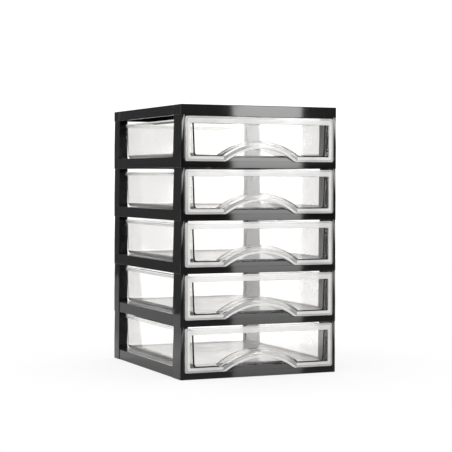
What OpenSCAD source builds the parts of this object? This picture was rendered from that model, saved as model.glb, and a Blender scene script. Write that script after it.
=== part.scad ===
// Stacking drawer tower: five tier frames pegged one on another, a top cover,
// and five clear drawers that slide out to the front.
// Millimetres. The front faces -Y, Z = 0 is the surface that the tower stands on.

/* [Tower] */
// Width over the rails
tower_w = 208.4; // [190:0.2:240]
// Depth of the frames, front face to back face
tower_d = 243; // [210:0.2:280]
// Height of one tier, underside to underside
tier_pitch = 63.5; // [56:0.5:90]
// Height of the top cover's skirt
cover_h = 12.5; // [11:0.5:18]
// Radius of the upright outer corners
corner_r = 2; // [1:0.25:4]

/* [Rails] */
// Height of the rails round each tier
rail_h = 13.2; // [11:0.1:16]
// Height of the flush lip below each drawer front
lip_h = 7.8; // [6:0.1:9]
// Width of the side rails, on which the drawers slide
side_rail_w = 24; // [18:1:32]
// Depth of the front rail
front_rail_d = 30; // [24:1:40]
// Depth of the back rail
back_rail_d = 18; // [12:1:22]
// Corner radius of the opening inside the rails
opening_r = 8; // [4:1:12]
// How far the side rails lie back between the posts
side_recess = 0.8; // [0.4:0.1:1.4]
// Distance between the ribs in the hollow underside
rib_pitch = 34; // [20:1:60]

/* [Posts] */
// Thickness of a post, seen from the front
post_t = 10; // [9:0.5:13]
// Width of a front post, seen from the side
front_post_d = 27; // [20:1:34]
// Width of a back post, seen from the side
back_post_d = 20; // [15:1:26]
// Width of the post strip that shows beside a drawer front
strip_w = 4.9; // [3.5:0.1:7]
// Depth of the rebate that a drawer front closes into
rebate_d = 1.5; // [1.2:0.1:3]
// Width of the back posts' inward lips
back_lip_w = 8.7; // [5:0.1:12]
// Draft of a post's outer face over its height
draft_out = 1; // [0.5:0.1:1.5]
// Draft of a post's face towards the side window
draft_window = 1.2; // [0.8:0.1:2.4]
// Height of the pegs on the post tops
peg_h = 8; // [5:0.5:9]

/* [Frame walls] */
// Wall of the black mouldings
frame_wall = 2.2; // [1.8:0.1:2.6]
// Thickness of the rails' top flange and of the cover's plate
flange_t = 2.4; // [2:0.1:3.2]
// Thickness of the ribs
rib_t = 1.6; // [1.2:0.1:2.2]
// Depth of the ribs below the cover's plate
cover_rib_h = 4; // [3:0.5:6]
// Distance between the ribs below the cover's plate
cover_rib_pitch = 42; // [30:1:60]
// Radius of the cover's top edge
cover_edge_r = 0.8; // [0.6:0.1:2.2]

/* [Drawer front] */
// Thickness of the face plate, at its raised border
face_t = 3; // [2.6:0.1:4]
// How far the raised border stands over the plate's rim
ridge_h = 0.8; // [0.5:0.1:1.1]
// How far the clear panel lies below the plate's rim
panel_sunk = 0.5; // [0.3:0.1:0.8]
// Width of the plate's plain rim, outside the raised border
rim_band = 2.6; // [1.5:0.1:3.5]
// Width of rim and border together at the sides
border_side = 5.8; // [4.5:0.1:8]
// Width of rim and border together at the top
border_top = 8; // [5:0.1:10]
// Width of rim and border together at the bottom and round the arch
border_low = 5.8; // [4.5:0.1:7]
// Corner radius of the face plate
face_r = 1.5; // [1:0.25:3]

/* [Finger pull] */
// Height of the arch above the plate's lower edge
arch_rise = 15.5; // [13:0.5:20]
// Radius of the arch
arch_r = 76; // [60:1:95]
// Radius of the feet that lead the arch into the lower edge
foot_r = 10; // [8:0.5:14]
// How far the arch's lip bows out to the front
lip_out = 6; // [3.5:0.1:8]
// Distance from the arch's edge to the outside of the pocket behind it
pocket_margin = 9.4; // [7:0.1:12]
// Depth of the finger pocket behind the plate
pocket_d = 13; // [10:0.5:20]

/* [Drawer tub] */
// Wall of the tub
tub_wall = 1.8; // [1.4:0.1:2.2]
// How far the turned rim stands out from the wall
rim_over = 3; // [2.4:0.1:4]
// Height of the turned rim
rim_h = 4.5; // [3:0.1:7]
// Draft of the tub's walls over their height
tub_draft = 2; // [1:0.1:3.5]
// Radius of the tub's back corners
tub_r = 9; // [7:0.5:14]
// Radius between the walls and the floor
floor_r = 4; // [2.5:0.25:5]
// Gap between the drawer's rim and the rail above
head_gap = 4.1; // [2:0.1:6]

/* [Clearances] */
// Gap below a drawer and behind its face plate
slide_gap = 0.3; // [0.2:0.05:0.5]
// Gap beside the tub's rim, at each post
side_gap = 1.5; // [0.8:0.1:2.5]
// Gap round the edge of the face plate
face_gap = 0.7; // [0.4:0.1:1]
// Gap above the face plate
face_head_gap = 1.8; // [1.6:0.1:2.6]
// Gap between the top drawer's face plate and the cover's skirt
skirt_gap = 0.4; // [0.3:0.1:0.6]
// Gap between the tub's back rim and the back posts' lips
back_gap = 0.8; // [0.5:0.1:30]
// Gap round each peg
peg_gap = 0.3; // [0.2:0.05:0.4]

/* [Hidden] */
$fn = 48;
arch_fn = 144;               // segments of the large circles
arch_steps = 28;             // steps of the arch
foot_steps = 5;              // steps of each of its feet
tiers = 5;
through = 1;                 // how far a cut runs past the face that it opens
skin = 0.01;                 // thickness of a layer inside a hull
floor_steps = 4;             // steps of the round between the tub's walls and floor
front_y = -(tower_d - lip_out) / 2;          // the frames' front face; the drawers' fronts stand before it
post_in = tower_w / 2 - post_t;              // inner face of the posts
strip_in = tower_w / 2 - strip_w;            // where the rebate begins beside the strip
hollow_in = post_in + frame_wall;            // the hollow inside a post, across
hollow_out = tower_w / 2 - frame_wall;
draft_face = 0.5;                            // draft of the posts' front and back faces
front_lean = [draft_face, draft_window];     // drafts of the front posts along the depth
back_lean = [draft_window, draft_face];
peg_lead = 0.4;                              // lead-in at a peg's end
roof_t = 3;                                  // closed end of a post, below its peg
peg_root = roof_t / 2;                       // how far a peg's foot reaches into that end

// depths are counted from the frames' front face: [start, end] of each post and of its hollow
front_post = [0, front_post_d];
back_post = [tower_d - back_post_d, tower_d];
front_hollow = [rebate_d + frame_wall, front_post_d - frame_wall];
back_hollow = [tower_d - back_post_d + frame_wall, tower_d - frame_wall];

face_w = 2 * (strip_in - face_gap);
face_low = lip_h + slide_gap;
face_h = tier_pitch - face_head_gap - face_low;
face_back = rebate_d - slide_gap;
rim_y = face_back - face_t + ridge_h;        // front of the plate's plain rim
ridge_y = rim_y - ridge_h;                   // front of the raised border
panel_y = rim_y + panel_sunk;                // front of the clear panel
arch_centre = arch_rise - arch_r;            // height of the arch's centre over the plate's lower edge

tub_low = rail_h + slide_gap;
tub_top = tier_pitch - head_gap;
tub_w = 2 * (post_in - side_gap);            // over the turned rim
tub_d = tower_d - frame_wall - back_gap - face_back;     // from the back of the face plate to the back rim
tub_h = tub_top - tub_low;

cover_drop = face_head_gap - skirt_gap;      // how far the cover's front skirt hangs below its sides

// ---------- plans and profiles ----------

// rectangle centred on x = 0, from y0 to y1, with round corners
module round_plan(w, y0, y1, r) {
    translate([-w / 2 + r, y0]) square([w - 2 * r, y1 - y0]);
    translate([-w / 2, y0 + r]) square([w, y1 - y0 - 2 * r]);
    for (x = [r - w / 2, w / 2 - r], y = [y0 + r, y1 - r]) translate([x, y]) circle(r);
}

module tower_plan(inset = 0)
    round_plan(tower_w - 2 * inset, inset, tower_d - inset, corner_r - min(inset, corner_r - 0.5));

module opening_plan(grow = 0)
    round_plan(tower_w - 2 * side_rail_w + 2 * grow, front_rail_d - grow,
               tower_d - back_rail_d + grow, opening_r + grow);

// the long shallow recess of a side face between the posts, with slanted ends
module side_recess_plan()
    for (side = [-1, 1])
        polygon([[side * (tower_w / 2 + through), front_post_d - side_recess - through],
                 [side * (tower_w / 2 - side_recess), front_post_d + side_recess],
                 [side * (tower_w / 2 - side_recess), back_post[0] - side_recess],
                 [side * (tower_w / 2 + through), back_post[0] + side_recess + through]]);

module post_foot_plan(span)
    for (side = [-1, 1])
        translate([side > 0 ? post_in : -tower_w / 2, span[0]]) square([post_t, span[1] - span[0]]);

// moves from a tier's own zero to its place in the tower
module at_tier(i) translate([0, front_y, i * tier_pitch]) children();

module both_sides() for (side = [0, 1]) mirror([side, 0, 0]) children();

// ---------- tier frame ----------

// everything between two upright profiles: x_profile is drawn in x and z, y_profile in depth and z
module leaning(x_profile, y_profile)
    intersection() {
        translate([0, 2 * tower_d, 0]) rotate([90, 0, 0]) linear_extrude(3 * tower_d) polygon(x_profile);
        translate([-tower_w, 0, 0]) rotate([90, 0, 90]) linear_extrude(2 * tower_w) polygon(y_profile);
    }

// a block from z = 0 to h whose sides lean in by the drafts given, as [at the low side, at the high side]
module drafted_box(xs, ys, x_draft, y_draft, h)
    leaning([[xs[0], 0], [xs[1], 0], [xs[1] - x_draft[1], h], [xs[0] + x_draft[0], h]],
            [[ys[0], 0], [ys[1], 0], [ys[1] - y_draft[1], h], [ys[0] + y_draft[0], h]]);

// outline of a right-hand post, with an inward lip where lip_w is more than 0
module post_plan(span, lip_w)
    intersection() {
        tower_plan();
        union() {
            translate([post_in, span[0]]) square([post_t, span[1] - span[0]]);
            translate([post_in - lip_w, span[1] - frame_wall]) square([lip_w + frame_wall, frame_wall]);
        }
    }

// outside of the right-hand post, plain up to the rails' top and drafted above; y_draft is along the depth
module post_shell(span, y_draft, lip_w)
    intersection() {
        linear_extrude(tier_pitch) post_plan(span, lip_w);
        leaning([[0, 0], [tower_w, 0], [tower_w, rail_h], [tower_w / 2, rail_h],
                 [tower_w / 2 - draft_out, tier_pitch], [0, tier_pitch]],
                [[span[0], 0], [span[1], 0], [span[1], rail_h], [span[1] - y_draft[1], tier_pitch],
                 [span[0] + y_draft[0], tier_pitch], [span[0], rail_h]]);
    }

// the post is hollow from below, as its mould leaves it, and takes the peg of the tier beneath
module post_hollow(span, y_draft)
    drafted_box([hollow_in, hollow_out], span, [0, draft_out], y_draft, tier_pitch - roof_t);

module post_peg(span, y_draft) {
    lean = peg_h / tier_pitch;           // share of the hollow's draft over the peg's height
    translate([0, 0, tier_pitch - peg_root])
        drafted_box([hollow_in + peg_gap, hollow_out - peg_gap - draft_out * lean],
                    [span[0] + peg_gap + y_draft[0] * lean, span[1] - peg_gap - y_draft[1] * lean],
                    [peg_lead, peg_lead], [peg_lead, peg_lead], peg_root + peg_h);
}

// cross ribs of the hollow underside: n even steps between a and b
function rib_places(a, b) = let (n = max(1, round((b - a) / rib_pitch))) [for (k = [1:1:n - 1]) a + (b - a) * k / n];

module rib_plan() {
    for (y = rib_places(front_post_d, back_post[0]))
        translate([-tower_w / 2, y - rib_t / 2]) square([tower_w, rib_t]);
    for (x = rib_places(-post_in, post_in))
        translate([x - rib_t / 2, 0]) square([rib_t, tower_d]);
}

// the rails are channels, open below, with ribs and with walls round the hollow post feet
module channel_plan(front)
    difference() {
        intersection() {
            tower_plan(frame_wall + side_recess);
            translate([-tower_w / 2, front]) square([tower_w, tower_d]);
        }
        opening_plan(frame_wall);
        post_foot_plan(front_post);
        post_foot_plan(back_post);
        rib_plan();
    }

module rails()
    difference() {
        linear_extrude(rail_h) difference() {
            tower_plan();
            opening_plan();
            side_recess_plan();
        }
        translate([0, 0, -through])
            linear_extrude(rail_h - flange_t + through) channel_plan(rebate_d + frame_wall);
        translate([0, 0, -through])
            linear_extrude(lip_h - flange_t + through) channel_plan(frame_wall);
    }

// room for the drawer front: between the strips, above the flush lip
module rebate()
    translate([-strip_in, -through, lip_h]) cube([2 * strip_in, rebate_d + through, tier_pitch]);

module tier_frame(i)
    at_tier(i) color("#1b1b1d") {
        difference() {
            union() {
                rails();
                both_sides() {
                    post_shell(front_post, front_lean, 0);
                    post_shell(back_post, back_lean, back_lip_w);
                }
            }
            rebate();
            both_sides() translate([0, 0, -skin]) {
                post_hollow(front_hollow, front_lean);
                post_hollow(back_hollow, back_lean);
            }
        }
        both_sides() {
            post_peg(front_hollow, front_lean);
            post_peg(back_hollow, back_lean);
        }
    }

// ---------- top cover ----------

// upright bar profile, w wide and h high, with its two top corners rounded
module rounded_top_profile(w, h, r) {
    square([w, h - r]);
    translate([r, 0]) square([w - 2 * r, h]);
    for (x = [r, w - r]) translate([x, h - r]) circle(r);
}

module cover_outside()
    intersection() {
        linear_extrude(cover_h) difference() {
            tower_plan();
            side_recess_plan();
        }
        translate([-tower_w / 2, tower_d, 0]) rotate([90, 0, 0])
            linear_extrude(tower_d) rounded_top_profile(tower_w, cover_h, cover_edge_r);
        translate([-tower_w / 2, 0, 0]) rotate([90, 0, 90])
            linear_extrude(tower_w) rounded_top_profile(tower_d, cover_h, cover_edge_r);
    }

module cover_rib_plan() {
    nx = round(tower_w / cover_rib_pitch);
    ny = round(tower_d / cover_rib_pitch);
    for (k = [1:1:nx - 1]) translate([-tower_w / 2 + tower_w * k / nx - rib_t / 2, 0]) square([rib_t, tower_d]);
    for (k = [1:1:ny - 1]) translate([-tower_w / 2, tower_d * k / ny - rib_t / 2]) square([tower_w, rib_t]);
}

module cover_hollow() {
    ceiling = cover_h - flange_t;
    translate([0, 0, -through]) linear_extrude(ceiling - cover_rib_h + through) difference() {
        tower_plan(frame_wall + side_recess);
        post_foot_plan(front_post);
        post_foot_plan(back_post);
    }
    translate([0, 0, -through]) linear_extrude(ceiling + through) difference() {
        tower_plan(frame_wall + side_recess);
        post_foot_plan(front_post);
        post_foot_plan(back_post);
        cover_rib_plan();
    }
}

// a cover socket is the same hollow foot as a post's, closed above the peg
module cover_sockets()
    both_sides() for (span = [front_hollow, back_hollow])
        translate([hollow_in, span[0], -through])
            cube([hollow_out - hollow_in, span[1] - span[0], peg_h + peg_gap + through]);

module top_cover()
    at_tier(tiers) color("#18181a") {
        difference() {
            cover_outside();
            cover_hollow();
            cover_sockets();
        }
        translate([-strip_in + face_gap, 0, -cover_drop])
            cube([2 * (strip_in - face_gap), frame_wall, cover_drop + skin]);
    }

// ---------- drawer ----------

function arc(centre, r, a0, a1, n) = [for (k = [0:1:n]) let (a = a0 + (a1 - a0) * k / n) centre + r * [cos(a), sin(a)]];

// half of the arch's opening at the plate's lower edge, and the angle at which a foot meets the arch
foot_x = sqrt(pow(arch_r + foot_r, 2) - pow(foot_r - arch_centre, 2));
foot_a = atan2(foot_r - arch_centre, foot_x);

// opening below the arch, its feet included, with each edge moved out by d
module arch_plan(d)
    polygon(concat([[foot_x, -through]],
                   arc([foot_x, foot_r], foot_r - d, -90, foot_a - 180, foot_steps),
                   arc([0, arch_centre], arch_r + d, foot_a, 180 - foot_a, arch_steps),
                   arc([-foot_x, foot_r], foot_r - d, -foot_a, -90, foot_steps),
                   [[-foot_x, -through]]));

// outline of the face plate with its edges moved in; its lower edge is y = 0
module face_plan(side, top, low)
    difference() {
        translate([0, low]) round_plan(face_w - 2 * side, 0, face_h - top - low, face_r);
        arch_plan(low);
    }

// stands a plan drawn in x and z upright, from depth y0 to y1
module upright(y0, y1)
    translate([0, y1, 0]) rotate([90, 0, 0]) linear_extrude(y1 - y0) children();

module face_plate()
    translate([0, 0, face_low]) difference() {
        union() {
            upright(rim_y, face_back) face_plan(0, 0, 0);
            upright(ridge_y, rim_y) face_plan(rim_band, rim_band, rim_band);
        }
        upright(ridge_y - through, panel_y) face_plan(border_side, border_top, border_low);
    }

// the band round the arch, bowed out to the front as the grip for the fingers
module arch_lip() {
    bow_r = pow(foot_x - rim_band, 2) / (2 * (lip_out + ridge_y));
    translate([0, 0, face_low]) intersection() {
        upright(-lip_out - through, face_back) difference() {
            arch_plan(border_low);
            arch_plan(0);
            translate([-arch_r, -2 * through]) square([2 * arch_r, 2 * through]);
        }
        translate([0, bow_r - lip_out, -through]) cylinder(r = bow_r, h = 3 * arch_rise, $fn = 2 * arch_fn);
    }
}

// tub outline seen from above, drawn in by d: square at the plate, round at the back corners
module tub_plan(d) {
    r = tub_r - min(d, tub_r - 1);
    half = tub_w / 2 - d;
    translate([-half, face_back]) square([2 * half, tub_d - d - r]);
    translate([-half + r, face_back]) square([2 * half - 2 * r, tub_d - d]);
    for (x = [-half + r, half - r]) translate([x, face_back + tub_d - d - r]) circle(r, $fn = 32);
}

// solid tub shape from z = 0 to h, drawn in by d at its top, with draft and a round lower edge
module tub_shape(d, h, r)
    hull() {
        translate([0, 0, h - skin]) linear_extrude(skin) tub_plan(d);
        for (k = [0:1:floor_steps])
            let (a = 90 * k / floor_steps, z = r * (1 - cos(a)))
                translate([0, 0, z]) linear_extrude(skin)
                    tub_plan(d + tub_draft * (h - z) / h + r * (1 - sin(a)));
    }

module turned_rim() {
    translate([0, 0, tub_top - rim_h]) linear_extrude(rim_h) difference() {
        tub_plan(0);
        tub_plan(tub_wall - 0.3);
    }
    translate([0, 0, tub_top - tub_wall]) linear_extrude(tub_wall) difference() {
        tub_plan(0);
        tub_plan(rim_over + tub_wall);
    }
}

// half-round segment that the pocket fills, above the drawer's underside
module pocket_plan(d)
    intersection() {
        translate([0, face_low + arch_centre]) circle(arch_r + d, $fn = arch_fn);
        translate([-2 * arch_r, tub_low]) square([4 * arch_r, tub_h]);
    }

module tub()
    difference() {
        union() {
            difference() {
                translate([0, 0, tub_low]) tub_shape(rim_over, tub_h, floor_r);
                translate([0, -skin, tub_low + tub_wall])
                    tub_shape(rim_over + tub_wall, tub_h, floor_r - tub_wall / 2);
            }
            turned_rim();
            upright(face_back, face_back + pocket_d + tub_wall) pocket_plan(pocket_margin);
        }
        translate([0, 0, -skin]) upright(face_back - through, face_back + pocket_d)
            pocket_plan(pocket_margin - tub_wall);
    }

module drawer(i)
    at_tier(i) color("#dfe4e8", 0.45) {
        face_plate();
        arch_lip();
        tub();
    }

tier_frame(0);  // tier_frame_1
tier_frame(1);  // tier_frame_2
tier_frame(2);  // tier_frame_3
tier_frame(3);  // tier_frame_4
tier_frame(4);  // tier_frame_5
top_cover();
drawer(0);  // drawer_1
drawer(1);  // drawer_2
drawer(2);  // drawer_3
drawer(3);  // drawer_4
drawer(4);  // drawer_5
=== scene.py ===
import math

import bmesh
import bpy
import numpy as np
from mathutils import Matrix, Vector


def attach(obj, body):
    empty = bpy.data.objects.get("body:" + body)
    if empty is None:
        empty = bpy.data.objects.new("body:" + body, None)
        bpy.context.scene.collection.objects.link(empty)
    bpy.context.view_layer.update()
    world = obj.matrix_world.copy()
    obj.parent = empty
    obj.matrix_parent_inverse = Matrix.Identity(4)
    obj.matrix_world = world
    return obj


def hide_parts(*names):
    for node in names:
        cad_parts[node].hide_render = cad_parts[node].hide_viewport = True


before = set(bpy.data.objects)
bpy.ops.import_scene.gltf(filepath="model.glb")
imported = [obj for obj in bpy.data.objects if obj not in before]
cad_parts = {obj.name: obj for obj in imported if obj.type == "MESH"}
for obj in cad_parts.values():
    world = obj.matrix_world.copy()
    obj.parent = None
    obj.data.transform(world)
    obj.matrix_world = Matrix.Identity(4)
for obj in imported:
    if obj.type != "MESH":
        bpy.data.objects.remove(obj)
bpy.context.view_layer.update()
print("frame loaded:", len(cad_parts), "mouldings")

# places that the looks need, in millimetres, as in the part's source
tower = {
    "frontY": -118.5,    # front face of the tier frames; a depth v lies at frontY + v
    "tierPitch": 63.5,
    "tiers": 5,
}


def inMetres(mm):
    return mm / 1000.0


# the camera stands where the photograph's camera stood

photoView = {
    "eye": (-0.74281, -1.72302, 0.23994),
    "yaw": 23.486,       # degrees to the right of +Y
    "pitch": -1.828,
    "roll": 0.161,
    "focalPixels": 1450.77,
    "picturePixels": 452,
    "sensorWidth": 36.0,
    "nearest": 0.05,     # metres that the camera starts and stops seeing at
    "farthest": 40.0,
}


def makeCamera(view):
    yaw, pitch, roll = (math.radians(view[k]) for k in ("yaw", "pitch", "roll"))
    ahead = Vector((math.sin(yaw) * math.cos(pitch), math.cos(yaw) * math.cos(pitch), math.sin(pitch)))
    level = Vector((math.cos(yaw), -math.sin(yaw), 0.0))
    above = level.cross(ahead)
    right = math.cos(roll) * level + math.sin(roll) * above
    up = -math.sin(roll) * level + math.cos(roll) * above
    data = bpy.data.cameras.new("camera")
    data.sensor_fit = "HORIZONTAL"
    data.sensor_width = view["sensorWidth"]
    data.lens = view["sensorWidth"] * view["focalPixels"] / view["picturePixels"]
    data.clip_start, data.clip_end = view["nearest"], view["farthest"]
    camera = bpy.data.objects.new("camera", data)
    turn = Matrix((right, up, -ahead)).transposed()
    camera.matrix_world = Matrix.Translation(view["eye"]) @ turn.to_4x4()
    bpy.context.scene.collection.objects.link(camera)
    bpy.context.scene.camera = camera


makeCamera(photoView)
bpy.context.scene.view_settings.view_transform = "Standard"
print("camera placed")


# short ways to make nodes and links

def addNode(tree, kind, **settings):
    node = tree.nodes.new(kind)
    for name, value in settings.items():
        if name == "values":   # plain numbers and colours for the node's own sockets
            for socket, number in value.items():
                node.inputs[socket].default_value = number
        else:
            setattr(node, name, value)
    return node


def maths(tree, operation, a, b=None, clamp=False):
    node = addNode(tree, "ShaderNodeMath", operation=operation, use_clamp=clamp)
    for socket, value in zip(node.inputs, (a, b)):
        if value is None:
            continue
        if isinstance(value, (int, float)):
            socket.default_value = value
        else:
            tree.links.new(value, socket)
    return node.outputs[0]


def rangeOf(tree, value, low, high, toLow, toHigh, smooth=False):
    node = addNode(tree, "ShaderNodeMapRange",
                   interpolation_type="SMOOTHSTEP" if smooth else "LINEAR",
                   values={"From Min": low, "From Max": high, "To Min": toLow, "To Max": toHigh})
    tree.links.new(value, node.inputs["Value"])
    return node.outputs["Result"]


def noise(tree, place, scale, detail=2.0, roughness=0.5):
    node = addNode(tree, "ShaderNodeTexNoise",
                   values={"Scale": scale, "Detail": detail, "Roughness": roughness})
    tree.links.new(place, node.inputs["Vector"])
    return node.outputs["Fac"]


def newMaterial(name):
    material = bpy.data.materials.new(name)
    material.use_nodes = True
    tree = material.node_tree
    tree.nodes.clear()
    return material, tree, addNode(tree, "ShaderNodeOutputMaterial")


def newGroup(name, inputs, outputs):
    group = bpy.data.node_groups.new(name, "ShaderNodeTree")
    for label, kind, value in inputs:
        socket = group.interface.new_socket(label, in_out="INPUT", socket_type=kind)
        if value is not None:
            socket.default_value = value
    for label, kind in outputs:
        group.interface.new_socket(label, in_out="OUTPUT", socket_type=kind)
    return group, addNode(group, "NodeGroupInput").outputs, addNode(group, "NodeGroupOutput").inputs


def useGroup(tree, group, place, **values):
    node = addNode(tree, "ShaderNodeGroup", node_tree=group)
    tree.links.new(place, node.inputs["Place"])
    for name, value in values.items():
        node.inputs[name].default_value = value
    return node.outputs


# room, floor, strip light and top light

studio = {
    "fillLevel": 1.2,        # soft light from all round, on dull surfaces
    "frontLevel": 0.03,      # how bright the dim room in front is in a reflection
    "tableLevel": 0.36,      # the same for the table in front, below the horizon
    "highLevel": 0.24,       # and for the front of the room above it
    "backLevel": 1.0,
    "throughLevel": 1.35,    # the white sweep as it is seen through clear plastic
    "screenAzimuth": -24.5,  # middle of the dark screen at the left rear, degrees from +Y
    "screenHalfWidth": 15.0,
    "screenLevel": 0.14,
    # the table: its far left edge is where the screen stands
    "floorOutline": ((-2.4, -1.3), (1.6, -1.3), (1.6, 2.21), (-0.834, 2.21), (-0.461, 0.797), (-2.4, 0.797)),
    "floorTone": 0.7,
    "farTone": 0.53,         # share of that tone which reflections see far off: a painted shade
    "fadeFrom": 0.1,         # metres from the tower's middle between which it falls to that share
    "fadeTo": 0.6,
    "floorHeight": -0.0003,
    "floorWhite": 0.8,       # share of plain white that the lens sees on the floor beside the tower
    "whiteStart": 0.16,      # metres from the tower's middle where the floor starts to turn white
    "whiteFrom": 0.42,       # and where it is all white
    "stripNear": (0.960, -2.409),
    "stripFar": (1.170, -2.356),
    "stripLow": -0.75,
    "stripHigh": 1.15,
    "stripSoftEdge": 0.018,
    # height in metres and brightness of the strip light
    "stripLevels": ((-0.75, 1.4), (-0.33, 1.8), (-0.15, 2.5), (0.0, 3.35), (0.14, 4.3), (0.30, 6.0),
                    (0.46, 9.0), (1.15, 9.0)),
    "topEnergy": 9.0,
    "topSize": (1.4, 1.1),
    "topPlace": (-0.15, 0.1, 1.5),
}


def makeWorld(s):
    world = bpy.data.worlds.new("studio")
    bpy.context.scene.world = world
    world.use_nodes = True
    tree = world.node_tree
    tree.nodes.clear()
    towards = addNode(tree, "ShaderNodeTexCoord").outputs["Generated"]
    parts = addNode(tree, "ShaderNodeSeparateXYZ")
    tree.links.new(towards, parts.inputs[0])
    x, y, z = parts.outputs
    # a reflection sees a dim room in front, a white sweep behind and above, and a screen at the left rear
    behind = rangeOf(tree, y, -0.15, 0.2, 0.0, s["backLevel"], True)
    front = maths(tree, "MAXIMUM", rangeOf(tree, z, -0.14, 0.0, s["tableLevel"], s["frontLevel"]),
                  rangeOf(tree, z, 0.01, 0.05, s["frontLevel"], s["highLevel"]))
    ahead = maths(tree, "MULTIPLY", front, rangeOf(tree, y, -0.15, 0.2, 1.0, 0.0, True))
    overhead = maths(tree, "MULTIPLY", rangeOf(tree, z, 0.45, 0.8, 0.0, s["backLevel"], True),
                     rangeOf(tree, y, -0.35, 0.05, 0.0, 1.0, True))
    sweep = maths(tree, "MAXIMUM", maths(tree, "ADD", behind, ahead), overhead)
    azimuth = maths(tree, "ARCTAN2", x, y)
    off = maths(tree, "ABSOLUTE", maths(tree, "SUBTRACT", azimuth, math.radians(s["screenAzimuth"])))
    edge = math.radians(s["screenHalfWidth"])
    onScreen = rangeOf(tree, off, edge * 0.85, edge * 1.15, 1.0, 0.0, True)
    lowEnough = rangeOf(tree, z, 0.35, 0.5, 1.0, 0.0, True)
    screen = maths(tree, "MULTIPLY", onScreen, lowEnough)
    dimming = rangeOf(tree, screen, 0.0, 1.0, 1.0, s["screenLevel"])
    mirrored = maths(tree, "MULTIPLY", sweep, dimming)
    path = addNode(tree, "ShaderNodeLightPath").outputs
    # straight through the clear parts there is plain white, and past a reflection the mirrored room
    passing = rangeOf(tree, path["Is Transmission Ray"], 0.0, 1.0, 1.0, s["throughLevel"])
    straight = maths(tree, "SUBTRACT", 1.0, path["Glossy Depth"], True)
    room = maths(tree, "MULTIPLY", maths(tree, "MAXIMUM", mirrored, straight), passing)
    glossy = maths(tree, "MULTIPLY", path["Is Glossy Ray"], room)
    dull = maths(tree, "MULTIPLY", maths(tree, "SUBTRACT", 1.0, path["Is Glossy Ray"]), s["fillLevel"])
    strength = maths(tree, "MAXIMUM", path["Is Camera Ray"], maths(tree, "ADD", glossy, dull))
    background = addNode(tree, "ShaderNodeBackground", values={"Color": (1, 1, 1, 1)})
    tree.links.new(strength, background.inputs["Strength"])
    tree.links.new(background.outputs[0], addNode(tree, "ShaderNodeOutputWorld").inputs["Surface"])


def makeFloor(s):
    points = [(x, y, s["floorHeight"]) for x, y in s["floorOutline"]]
    mesh = bpy.data.meshes.new("floor")
    mesh.from_pydata(points, [], [list(range(len(points)))])
    floor = bpy.data.objects.new("floor", mesh)
    bpy.context.scene.collection.objects.link(floor)
    material, tree, out = newMaterial("paleFloor")
    path = addNode(tree, "ShaderNodeLightPath").outputs
    place = addNode(tree, "ShaderNodeTexCoord").outputs["Object"]
    reach = addNode(tree, "ShaderNodeVectorMath", operation="LENGTH")
    tree.links.new(place, reach.inputs[0])
    # painted shade: reflections see the floor darker the farther it lies from the tower
    fading = rangeOf(tree, reach.outputs["Value"], s["fadeFrom"], s["fadeTo"], 0.0, 1.0 - s["farTone"])
    fading = maths(tree, "SUBTRACT", 1.0, maths(tree, "MULTIPLY", fading, path["Is Glossy Ray"]))
    dull = addNode(tree, "ShaderNodeBsdfDiffuse")
    tree.links.new(maths(tree, "MULTIPLY", fading, s["floorTone"]), dull.inputs["Color"])
    white = addNode(tree, "ShaderNodeEmission", values={"Color": (1, 1, 1, 1)})
    through = maths(tree, "MULTIPLY", path["Is Transmission Ray"], s["throughLevel"])
    tree.links.new(maths(tree, "MAXIMUM", path["Is Camera Ray"], through), white.inputs["Strength"])
    seen = maths(tree, "MAXIMUM", path["Is Camera Ray"], path["Is Transmission Ray"])
    paper = addNode(tree, "ShaderNodeMixShader")
    plain = rangeOf(tree, reach.outputs["Value"], s["whiteStart"], s["whiteFrom"], s["floorWhite"], 1.0, True)
    tree.links.new(maths(tree, "MULTIPLY", seen, plain), paper.inputs[0])
    tree.links.new(dull.outputs[0], paper.inputs[1])
    tree.links.new(white.outputs[0], paper.inputs[2])
    # reflections look past the floor in front of the tower, to the dim room and the strip light
    parts = addNode(tree, "ShaderNodeSeparateXYZ")
    tree.links.new(place, parts.inputs[0])
    inFront = rangeOf(tree, parts.outputs[1], -0.10, -0.12, 0.0, 1.0)
    past = addNode(tree, "ShaderNodeMixShader")
    tree.links.new(maths(tree, "MULTIPLY", inFront, path["Is Glossy Ray"]), past.inputs[0])
    tree.links.new(paper.outputs[0], past.inputs[1])
    tree.links.new(addNode(tree, "ShaderNodeBsdfTransparent").outputs[0], past.inputs[2])
    tree.links.new(past.outputs[0], out.inputs["Surface"])
    mesh.materials.append(material)


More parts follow.
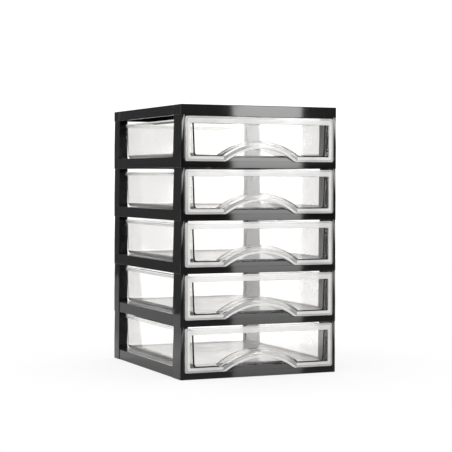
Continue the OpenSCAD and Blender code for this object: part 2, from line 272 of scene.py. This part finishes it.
def makeStripLight(s):
    (x0, y0), (x1, y1) = s["stripNear"], s["stripFar"]
    low, high = s["stripLow"], s["stripHigh"]
    mesh = bpy.data.meshes.new("stripLight")
    mesh.from_pydata([(x0, y0, low), (x1, y1, low), (x1, y1, high), (x0, y0, high)], [], [(0, 1, 2, 3)])
    strip = bpy.data.objects.new("stripLight", mesh)
    bpy.context.scene.collection.objects.link(strip)
    strip.visible_camera = strip.visible_diffuse = strip.visible_shadow = False
    material, tree, out = newMaterial("stripGlow")
    parts = addNode(tree, "ShaderNodeSeparateXYZ")
    tree.links.new(addNode(tree, "ShaderNodeTexCoord").outputs["Object"], parts.inputs[0])
    ramp = addNode(tree, "ShaderNodeValToRGB")
    brightest = max(level for _, level in s["stripLevels"])
    stops = ramp.color_ramp.elements
    while len(stops) < len(s["stripLevels"]):
        stops.new(0.5)
    for stop, (height, level) in zip(stops, s["stripLevels"]):
        stop.position = (height - low) / (high - low)
        stop.color = (level / brightest,) * 3 + (1.0,)
    tree.links.new(rangeOf(tree, parts.outputs[2], low, high, 0.0, 1.0), ramp.inputs[0])
    # the left edge of the light, as the tower mirrors it, is softer than the right one
    soft = rangeOf(tree, parts.outputs[0], x0, x0 + s["stripSoftEdge"], 0.0, brightest, True)
    glow = addNode(tree, "ShaderNodeEmission")
    tree.links.new(ramp.outputs["Color"], glow.inputs["Color"])
    tree.links.new(soft, glow.inputs["Strength"])
    tree.links.new(glow.outputs[0], out.inputs["Surface"])
    mesh.materials.append(material)


def makeTopLight(s):
    data = bpy.data.lights.new("topLight", "AREA")
    data.shape = "RECTANGLE"
    data.size, data.size_y = s["topSize"]
    data.energy = s["topEnergy"]
    light = bpy.data.objects.new("topLight", data)
    light.location = s["topPlace"]
    light.visible_camera = light.visible_glossy = light.visible_transmission = False
    bpy.context.scene.collection.objects.link(light)


makeWorld(studio)
makeFloor(studio)
makeStripLight(studio)
makeTopLight(studio)
print("studio ready")


# effects that both plastics share

def makeGrainGroup():
    # height of a moulded surface: long flow waves, the polish of the mould, and a fine texture
    group, given, gives = newGroup(
        "mouldedGrain",
        [("Place", "NodeSocketVector", None), ("Waves", "NodeSocketFloat", 1.0),
         ("Polish", "NodeSocketFloat", 1.0), ("Fine", "NodeSocketFloat", 1.0)],
        [("Height", "NodeSocketFloat")])
    waves = noise(group, given["Place"], 14.0, 1.0)
    polish = noise(group, given["Place"], 260.0, 2.0)
    fine = noise(group, given["Place"], 1700.0, 2.0, 0.6)
    total = maths(group, "ADD", maths(group, "MULTIPLY", waves, given["Waves"]),
                  maths(group, "MULTIPLY", polish, given["Polish"]))
    total = maths(group, "ADD", total, maths(group, "MULTIPLY", fine, given["Fine"]))
    group.links.new(total, gives["Height"])
    return group


def makeScratchGroup():
    # thin hair scratches: a stretched noise, kept only where it crosses its middle value
    group, given, gives = newGroup(
        "hairScratches",
        [("Place", "NodeSocketVector", None), ("Turn", "NodeSocketFloat", 0.6),
         ("Amount", "NodeSocketFloat", 0.5)],
        [("Mask", "NodeSocketFloat")])
    turned = addNode(group, "ShaderNodeVectorRotate", rotation_type="AXIS_ANGLE",
                     values={"Axis": (0.5, 0.62, 0.6)})
    group.links.new(given["Place"], turned.inputs["Vector"])
    group.links.new(given["Turn"], turned.inputs["Angle"])
    stretched = addNode(group, "ShaderNodeVectorMath", operation="MULTIPLY")
    stretched.inputs[1].default_value = (900.0, 35.0, 260.0)
    group.links.new(turned.outputs[0], stretched.inputs[0])
    lines = noise(group, stretched.outputs[0], 1.0, 1.0)
    thin = rangeOf(group, maths(group, "ABSOLUTE", maths(group, "SUBTRACT", lines, 0.5)),
                   0.0, 0.012, 1.0, 0.0)
    patches = rangeOf(group, noise(group, given["Place"], 22.0, 2.0), 0.5, 0.68, 0.0, 1.0)
    mask = maths(group, "MULTIPLY", maths(group, "MULTIPLY", thin, patches), given["Amount"], True)
    group.links.new(mask, gives["Mask"])
    return group


def makeDustGroup():
    # fine dust: specks and a film that lie on faces that look up
    group, given, gives = newGroup(
        "settledDust",
        [("Place", "NodeSocketVector", None), ("Amount", "NodeSocketFloat", 0.5)],
        [("Mask", "NodeSocketFloat")])
    parts = addNode(group, "ShaderNodeSeparateXYZ")
    group.links.new(addNode(group, "ShaderNodeNewGeometry").outputs["Normal"], parts.inputs[0])
    lying = rangeOf(group, parts.outputs[2], 0.4, 0.95, 0.0, 1.0, True)
    film = rangeOf(group, noise(group, given["Place"], 45.0, 4.0), 0.42, 0.75, 0.15, 1.0)
    specks = rangeOf(group, noise(group, given["Place"], 1300.0, 1.0), 0.66, 0.74, 0.0, 1.0)
    both = maths(group, "ADD", maths(group, "MULTIPLY", film, 0.35), specks)
    mask = maths(group, "MULTIPLY", maths(group, "MULTIPLY", both, lying), given["Amount"], True)
    group.links.new(mask, gives["Mask"])
    return group


def makeTouchGroup():
    # dull patches that hands leave: a wide noise with a finer one in it
    group, given, gives = newGroup(
        "handMarks",
        [("Place", "NodeSocketVector", None), ("Amount", "NodeSocketFloat", 0.5)],
        [("Mask", "NodeSocketFloat")])
    wide = rangeOf(group, noise(group, given["Place"], 17.0, 3.0, 0.6), 0.48, 0.7, 0.0, 1.0, True)
    fine = rangeOf(group, noise(group, given["Place"], 190.0, 3.0, 0.7), 0.35, 0.7, 0.3, 1.0)
    mask = maths(group, "MULTIPLY", maths(group, "MULTIPLY", wide, fine), given["Amount"], True)
    group.links.new(mask, gives["Mask"])
    return group


grain = makeGrainGroup()
scratches = makeScratchGroup()
dust = makeDustGroup()
handMarks = makeTouchGroup()


# black plastic of the tier frames and the cover

blackPlastic = {
    "tone": (0.0045, 0.0045, 0.0048),
    "dustTone": (0.16, 0.155, 0.15),
    "ior": 1.53,
    "gloss": 0.035,          # roughness where the moulding is clean
    "edgeGloss": 0.16,       # roughness along the rounded edges
    # lighter tone along the rounded edges: a painted highlight
    "paintedEdgeHighlightTone": (0.012, 0.012, 0.0125),
    "scratchAmount": 0.35,
    "dustAmount": 0.16,
    "markAmount": 0.5,
    "fineGrain": 0.006,
    "waveDepth": 0.00002,    # metres
}


def makeBlackPlastic(name, tone, roughness, s):
    material, tree, out = newMaterial(name)
    place = addNode(tree, "ShaderNodeTexCoord").outputs["Object"]
    scratched = useGroup(tree, scratches, place, Turn=0.7, Amount=s["scratchAmount"])["Mask"]
    dusty = useGroup(tree, dust, place, Amount=s["dustAmount"])["Mask"]
    touched = useGroup(tree, handMarks, place, Amount=s["markAmount"])["Mask"]
    height = useGroup(tree, grain, place, Waves=1.0, Polish=0.02, Fine=s["fineGrain"])["Height"]
    shade = addNode(tree, "ShaderNodeMix", data_type="RGBA")
    shade.inputs["A"].default_value = tone + (1.0,)
    shade.inputs["B"].default_value = s["dustTone"] + (1.0,)
    lighter = maths(tree, "ADD", dusty, maths(tree, "MULTIPLY", scratched, 0.08), True)
    tree.links.new(lighter, shade.inputs["Factor"])
    rough = maths(tree, "ADD", roughness, maths(tree, "MULTIPLY", touched, 0.07))
    rough = maths(tree, "ADD", rough, maths(tree, "MULTIPLY", dusty, 0.5))
    rough = maths(tree, "ADD", rough, maths(tree, "MULTIPLY", scratched, 0.2), True)
    bump = addNode(tree, "ShaderNodeBump", values={"Strength": 1.0, "Distance": s["waveDepth"]})
    tree.links.new(maths(tree, "SUBTRACT", height, maths(tree, "MULTIPLY", scratched, 0.02)),
                   bump.inputs["Height"])
    shader = addNode(tree, "ShaderNodeBsdfPrincipled", values={"IOR": s["ior"]})
    tree.links.new(shade.outputs["Result"], shader.inputs["Base Color"])
    tree.links.new(rough, shader.inputs["Roughness"])
    tree.links.new(bump.outputs[0], shader.inputs["Normal"])
    tree.links.new(shader.outputs[0], out.inputs["Surface"])
    return material


blackFace = makeBlackPlastic("blackPlastic", blackPlastic["tone"], blackPlastic["gloss"], blackPlastic)
# the edge material's lighter tone is a painted highlight along the rounded edges
blackEdge = makeBlackPlastic("blackPlasticEdge", blackPlastic["paintedEdgeHighlightTone"], blackPlastic["edgeGloss"],
                             blackPlastic)


# clear plastic of the drawers

clearPlastic = {
    "tint": (0.988, 0.98, 0.972),
    "cloudTone": (0.94, 0.93, 0.92),
    "cloudRoughness": 0.35,
    "cloudThrough": 0.25,    # share of the cloud that lets light through
    "ior": 1.5,
    "gloss": 0.03,
    "frost": 0.06,           # roughness that full haze adds
    "scratchAmount": 0.12,
    "dustAmount": 0.25,
    "markAmount": 0.15,
    "fineGrain": 0.004,
    "waveDepth": 0.00002,
    "lampsThrough": 0.86,    # share of the studio's light that passes to what is inside
    "archBelow": 52.4,       # millimetres from the tier's underside down to the arch's centre
    "archRadius": 76.0,
    "lipOffset": 1.2,        # from the arch's edge to the middle of the painted highlight band along it
    # whiteness of that band: a painted highlight
    "paintedLipHighlight": 0.95,
    "edgeHighlightMilk": 0.22,        # white milk that every rounded edge adds: a painted highlight
    # milkiness of each part of the moulding, 0 clear to 1 white
    # the border's and rim band's white is partly real frosting and partly a painted highlight
    "panel": 0.0, "border": 0.85, "rimBand": 0.58, "plateEdge": 0.3, "arch": 0.35, "pocket": 0.08,
    "wall": 0.01, "innerWall": 0.28, "tubFloor": 0.32, "backWall": 0.14, "tubRim": 0.12,
}


def makeClearPlastic(name, clearEdgeHighlight, s):
    material, tree, out = newMaterial(name)
    place = addNode(tree, "ShaderNodeTexCoord").outputs["Object"]
    haze = addNode(tree, "ShaderNodeAttribute", attribute_name="haze").outputs["Fac"]
    scratched = useGroup(tree, scratches, place, Turn=1.9, Amount=s["scratchAmount"])["Mask"]
    dusty = useGroup(tree, dust, place, Amount=s["dustAmount"])["Mask"]
    touched = useGroup(tree, handMarks, place, Amount=s["markAmount"])["Mask"]
    height = useGroup(tree, grain, place, Waves=1.0, Polish=0.02, Fine=s["fineGrain"])["Height"]
    flow = rangeOf(tree, noise(tree, place, 32.0, 3.0), 0.3, 0.7, 0.88, 1.12)
    # the lip round the arch: a band along its edge is painted white, a painted highlight; x across, t height
    # above the tier
    parts = addNode(tree, "ShaderNodeSeparateXYZ")
    tree.links.new(place, parts.inputs[0])
    t = maths(tree, "MODULO", parts.outputs[2], inMetres(tower["tierPitch"]))
    up = maths(tree, "ADD", t, inMetres(s["archBelow"]))
    far = maths(tree, "SQRT", maths(tree, "ADD", maths(tree, "MULTIPLY", parts.outputs[0], parts.outputs[0]),
                                    maths(tree, "MULTIPLY", up, up)))
    off = maths(tree, "ABSOLUTE", maths(tree, "SUBTRACT", far, inMetres(s["archRadius"] + s["lipOffset"])))
    onLip = rangeOf(tree, off, 0.0011, 0.0017, s["paintedLipHighlight"], 0.0)
    outerFace = rangeOf(tree, parts.outputs[1], inMetres(tower["frontY"] + 0.2),
                        inMetres(tower["frontY"] + 0.8), 1.0, 0.0)
    paintedLipHighlight = maths(tree, "MULTIPLY", maths(tree, "MULTIPLY", onLip, outerFace),
                    rangeOf(tree, t, 0.029, 0.031, 1.0, 0.0))
    # this milk is real frosting and haze, and also painted highlight from the lip band, the rounded edges and
    # the border
    milkAndHighlight = maths(tree, "ADD", maths(tree, "MAXIMUM", haze, paintedLipHighlight), clearEdgeHighlight)
    milkAndHighlight = maths(tree, "MULTIPLY", milkAndHighlight, flow)
    milkAndHighlight = maths(tree, "ADD", milkAndHighlight, maths(tree, "MULTIPLY", scratched, 0.3))
    milkAndHighlight = maths(tree, "ADD", milkAndHighlight, maths(tree, "MULTIPLY", dusty, 0.4), True)
    rough = maths(tree, "ADD", s["gloss"], maths(tree, "MULTIPLY", touched, 0.06))
    rough = maths(tree, "ADD", rough, maths(tree, "MULTIPLY", haze, s["frost"]), True)
    bump = addNode(tree, "ShaderNodeBump", values={"Strength": 1.0, "Distance": s["waveDepth"]})
    tree.links.new(height, bump.inputs["Height"])
    glass = addNode(tree, "ShaderNodeBsdfPrincipled",
                    values={"IOR": s["ior"], "Transmission Weight": 1.0, "Base Color": s["tint"] + (1.0,)})
    tree.links.new(rough, glass.inputs["Roughness"])
    tree.links.new(bump.outputs[0], glass.inputs["Normal"])
    through = addNode(tree, "ShaderNodeBsdfTranslucent", values={"Color": s["cloudTone"] + (1.0,)})
    cloud = addNode(tree, "ShaderNodeBsdfPrincipled",
                    values={"IOR": s["ior"], "Base Color": s["cloudTone"] + (1.0,),
                            "Roughness": s["cloudRoughness"]})
    tree.links.new(bump.outputs[0], cloud.inputs["Normal"])
    milk = addNode(tree, "ShaderNodeMixShader", values={0: s["cloudThrough"]})
    tree.links.new(cloud.outputs[0], milk.inputs[1])
    tree.links.new(through.outputs[0], milk.inputs[2])
    body = addNode(tree, "ShaderNodeMixShader")
    # the milk lies in the skin: light that is already inside meets it only once
    outside = maths(tree, "SUBTRACT", 1.0, addNode(tree, "ShaderNodeNewGeometry").outputs["Backfacing"])
    tree.links.new(maths(tree, "MULTIPLY", milkAndHighlight, outside), body.inputs[0])
    tree.links.new(glass.outputs[0], body.inputs[1])
    tree.links.new(milk.outputs[0], body.inputs[2])
    # light from the studio passes straight through, as it nearly does through thin walls
    path = addNode(tree, "ShaderNodeLightPath").outputs
    lit = addNode(tree, "ShaderNodeMixShader")
    tree.links.new(maths(tree, "MULTIPLY", path["Is Shadow Ray"], s["lampsThrough"]), lit.inputs[0])
    tree.links.new(body.outputs[0], lit.inputs[1])
    tree.links.new(addNode(tree, "ShaderNodeBsdfTransparent").outputs[0], lit.inputs[2])
    tree.links.new(lit.outputs[0], out.inputs["Surface"])
    return material


clearFace = makeClearPlastic("clearPlastic", 0.0, clearPlastic)
# the edge material's added milk is a painted highlight along the rounded edges
clearEdge = makeClearPlastic("clearPlasticEdge", clearPlastic["edgeHighlightMilk"], clearPlastic)
print("materials ready")


# mouldings: merged copies of the CAD nodes with rounded edges

moulding = {
    "mergeGap": 0.00003,     # metres; points closer than this are one
    "sharpAngle": 32.0,
    "edgeSteps": 2,
    "blackEdgeWidth": 0.00032,
    "clearEdgeWidth": 0.00022,
}

# millimetres that part the regions of a drawer: v depth, t height above its tier
drawerRegions = {
    "plateBack": 1.4,        # v of the face plate's back
    "rimFront": -0.75,       # v before which the front faces are the rim band
    "borderFront": -1.4,     # v before which they are the raised border
    "archMargin": 7.0,       # how far round the arch its lip reaches
    "archTop": 31,           # t
    "pocketBack": 16.5,      # v
    "pocketTop": 36,         # t
    "floorFront": 16,        # v
    "floorTop": 17.5,        # t
    "backWallFront": 233.5,  # v
    "rimBottom": 54.5,       # t
}


def pointsOf(mesh):
    points = np.zeros(len(mesh.vertices) * 3)
    mesh.vertices.foreach_get("co", points)
    return points.reshape(-1, 3)


def mouldedCopy(node, name, edgeWidth, materials, s):
    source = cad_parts[node].data
    mesh = bpy.data.meshes.new(name)
    work = bmesh.new()
    work.from_mesh(source)
    bmesh.ops.remove_doubles(work, verts=work.verts, dist=s["mergeGap"])
    bmesh.ops.dissolve_degenerate(work, edges=work.edges, dist=s["mergeGap"] * 0.5)
    for face in work.faces:
        face.smooth = True
        face.material_index = 0
    work.to_mesh(mesh)
    work.free()
    mesh.set_sharp_from_angle(angle=math.radians(s["sharpAngle"]))
    for material in materials:
        mesh.materials.append(material)
    piece = bpy.data.objects.new(name, mesh)
    bpy.context.scene.collection.objects.link(piece)
    bevel = piece.modifiers.new("edges", "BEVEL")
    bevel.width = edgeWidth
    bevel.segments = s["edgeSteps"]
    bevel.limit_method = "ANGLE"
    bevel.angle_limit = math.radians(s["sharpAngle"])
    bevel.use_clamp_overlap = False
    bevel.harden_normals = True
    bevel.miter_outer = "MITER_ARC"
    bevel.material = 1
    # a flat face keeps its own direction, and the roundings beside it bend to meet it
    evened = piece.modifiers.new("directions", "WEIGHTED_NORMAL")
    evened.weight = 100
    evened.keep_sharp = True
    # the rounded mesh is kept, with no point outside the moulding's own box
    ready = piece.evaluated_get(bpy.context.evaluated_depsgraph_get())
    rounded = bpy.data.meshes.new_from_object(ready, preserve_all_data_layers=True,
                                              depsgraph=bpy.context.evaluated_depsgraph_get())
    rounded.name = name
    piece.modifiers.clear()
    piece.data = rounded
    bpy.data.meshes.remove(mesh)
    limits = pointsOf(source)
    points = np.clip(pointsOf(rounded), limits.min(0), limits.max(0))
    rounded.vertices.foreach_set("co", points.ravel())
    rounded.update()
    return piece


def faceCentres(mesh):
    centre = np.zeros(len(mesh.polygons) * 3)
    mesh.polygons.foreach_get("center", centre)
    normal = np.zeros(len(mesh.polygons) * 3)
    mesh.polygons.foreach_get("normal", normal)
    return centre.reshape(-1, 3) * 1000.0, normal.reshape(-1, 3)


def paintHaze(mesh, tier, s, r):
    # each face takes the milkiness of the region that its middle lies in: x across, v depth, t height
    centre, normal = faceCentres(mesh)
    x, v = centre[:, 0], centre[:, 1] - tower["frontY"]
    t = centre[:, 2] - tower["tierPitch"] * tier
    haze = np.full(len(x), s["wall"])
    haze[x * normal[:, 0] < -0.9 * np.abs(x)] = s["innerWall"]
    haze[(v > r["floorFront"]) & (t < r["floorTop"])] = s["tubFloor"]
    haze[v > r["backWallFront"]] = s["backWall"]
    haze[(v > r["plateBack"]) & (t > r["rimBottom"])] = s["tubRim"]
    plate = v < r["plateBack"]
    front = plate & (normal[:, 1] < -0.9)
    haze[plate] = s["plateEdge"]
    haze[front] = s["panel"]
    # the rim band and raised border: partly real frosting, partly a painted highlight
    haze[front & (v < r["rimFront"])] = s["rimBand"]
    haze[front & (v < r["borderFront"])] = s["border"]
    haze[plate & (normal[:, 1] > 0.9)] = s["panel"]
    inArch = np.hypot(x, t + s["archBelow"]) < s["archRadius"] + r["archMargin"]
    haze[plate & inArch & (t < r["archTop"])] = s["arch"]
    inPocket = (v >= r["plateBack"]) & (v < r["pocketBack"]) & (t < r["pocketTop"])
    haze[inPocket & inArch] = s["pocket"]
    layer = mesh.attributes.new("haze", "FLOAT", "FACE")
    layer.data.foreach_set("value", haze.astype(np.float32))


blackPieces = [("tier_frame_%d" % (k + 1), "tierFrame%d" % (k + 1)) for k in range(tower["tiers"])]
blackPieces.append(("top_cover", "topCover"))
for node, name in blackPieces:
    piece = mouldedCopy(node, name, moulding["blackEdgeWidth"], (blackFace, blackEdge), moulding)
    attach(piece, "frame")
    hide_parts(node)
print("tier frames and cover made")

for k in range(tower["tiers"]):
    node = "drawer_%d" % (k + 1)
    piece = mouldedCopy(node, "clearDrawer%d" % (k + 1), moulding["clearEdgeWidth"],
                        (clearFace, clearEdge), moulding)
    paintHaze(piece.data, k, clearPlastic, drawerRegions)
    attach(piece, node)
    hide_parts(node)
print("drawers made")
